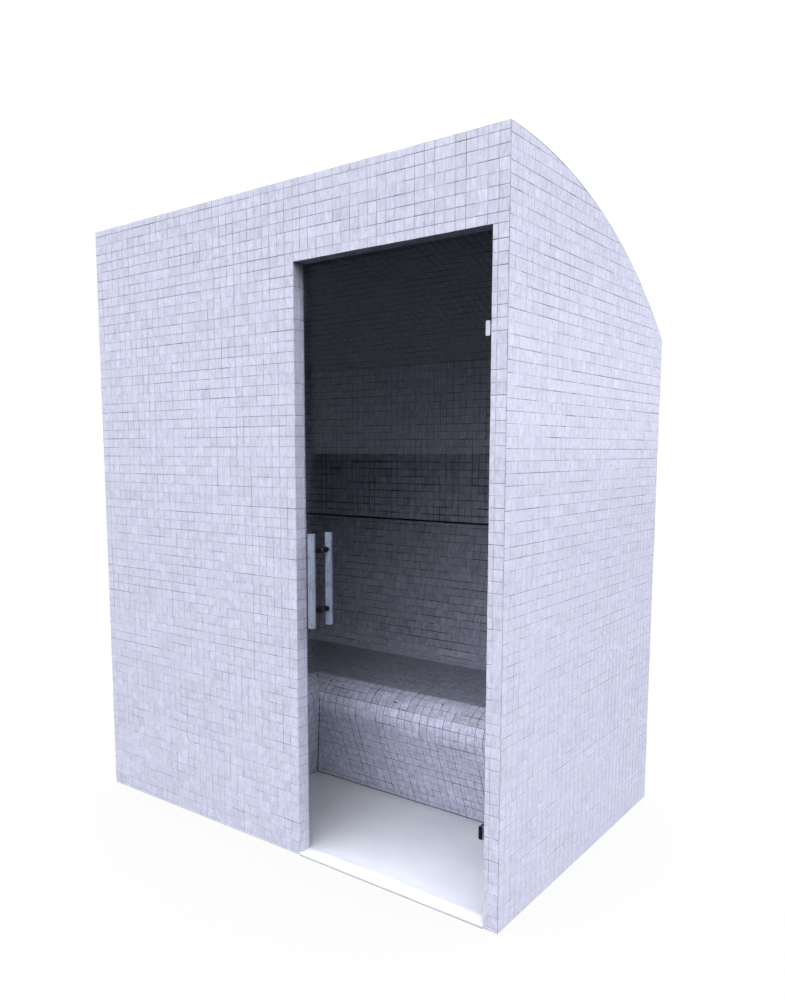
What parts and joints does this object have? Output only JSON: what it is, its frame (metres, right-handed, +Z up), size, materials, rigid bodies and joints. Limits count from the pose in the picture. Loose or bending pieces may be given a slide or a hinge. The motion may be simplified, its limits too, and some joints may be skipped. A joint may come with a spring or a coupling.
{
  "type": "steam room",
  "caption": "Free-standing mosaic-tiled steam cabin with a vaulted roof, an L-shaped reclining bench, a floor tray with a drain and an outward-opening glass door.",
  "frame": {"origin": "middle of the base, on the floor", "axes": "+Z up, -Y out of the door front, +X to the right of someone facing the door"},
  "size_m": [1.8, 1.1905, 2.2],
  "materials": {
    "mosaic": "satin",
    "foam_board": "matte",
    "tray": "satin",
    "clear_glass": "gloss",
    "steel": "satin",
    "chrome": "polished",
    "fastener": "satin",
    "black_metal": "satin",
    "gasket": "matte",
    "clear_seal": "gloss"
  },
  "bodies": {
    "cabin": {"floor_tray": "tray", "front_outer_mosaic": "mosaic", "left_outer_mosaic": "mosaic", "right_outer_mosaic": "mosaic", "rear_outer_mosaic": "mosaic", "doorway_jamb_mosaic": "mosaic", "doorway_soffit_mosaic": "mosaic", "left_inner_mosaic": "mosaic", "back_inner_mosaic": "mosaic", "right_inner_mosaic": "mosaic", "front_inner_mosaic": "mosaic", "ceiling_mosaic": "mosaic", "back_bench_mosaic": "mosaic", "left_bench_mosaic": "mosaic", "left_wall_panel": "foam_board", "right_wall_panel": "foam_board", "back_wall_panel": "foam_board", "front_wall_panel": "foam_board", "lintel_panel": "foam_board", "roof_vault": "foam_board", "back_bench_core": "foam_board", "back_backrest_core": "foam_board", "left_bench_core": "foam_board", "left_backrest_core": "foam_board", "steam_pipe": "steel", "steam_escutcheon": "steel", "steam_outlet_head": "steel", "temperature_probe": "steel", "drain_body": "steel", "upper_hinge_wall_plate": "chrome", "lower_hinge_wall_plate": "chrome", "panel_screws": "fastener", "hinge_wall_screws": "fastener"},
    "door": {"door_glass": "clear_glass", "outer_handle_bar": "steel", "inner_handle_bar": "steel", "outer_handle_posts": "black_metal", "inner_handle_posts": "black_metal", "handle_end_caps": "steel", "handle_washers": "gasket", "handle_studs": "fastener", "hinge_gaskets": "gasket", "hinge_pins": "fastener", "hinge_clamp_screws": "fastener", "door_bottom_seal": "clear_seal", "door_latch_seal": "clear_seal", "door_hinge_seal": "clear_seal", "upper_hinge_leaf": "chrome", "upper_hinge_outer_clamp": "chrome", "upper_hinge_inner_clamp": "chrome", "lower_hinge_leaf": "chrome", "lower_hinge_outer_clamp": "chrome", "lower_hinge_inner_clamp": "chrome"},
    "grate": {"drain_grate": "steel"}
  },
  "joints": [
    {"name": "door_swing", "type": "hinge", "parent": "cabin", "child": "door", "pos_m": [0.836, -0.546, 0], "axis": [0, 0, 1], "range_deg": [0, 90]},
    {"name": "grate_lift", "type": "slide", "parent": "cabin", "child": "grate", "axis": [0, 0, 1], "range_m": [0, 0.05]}
  ]
}
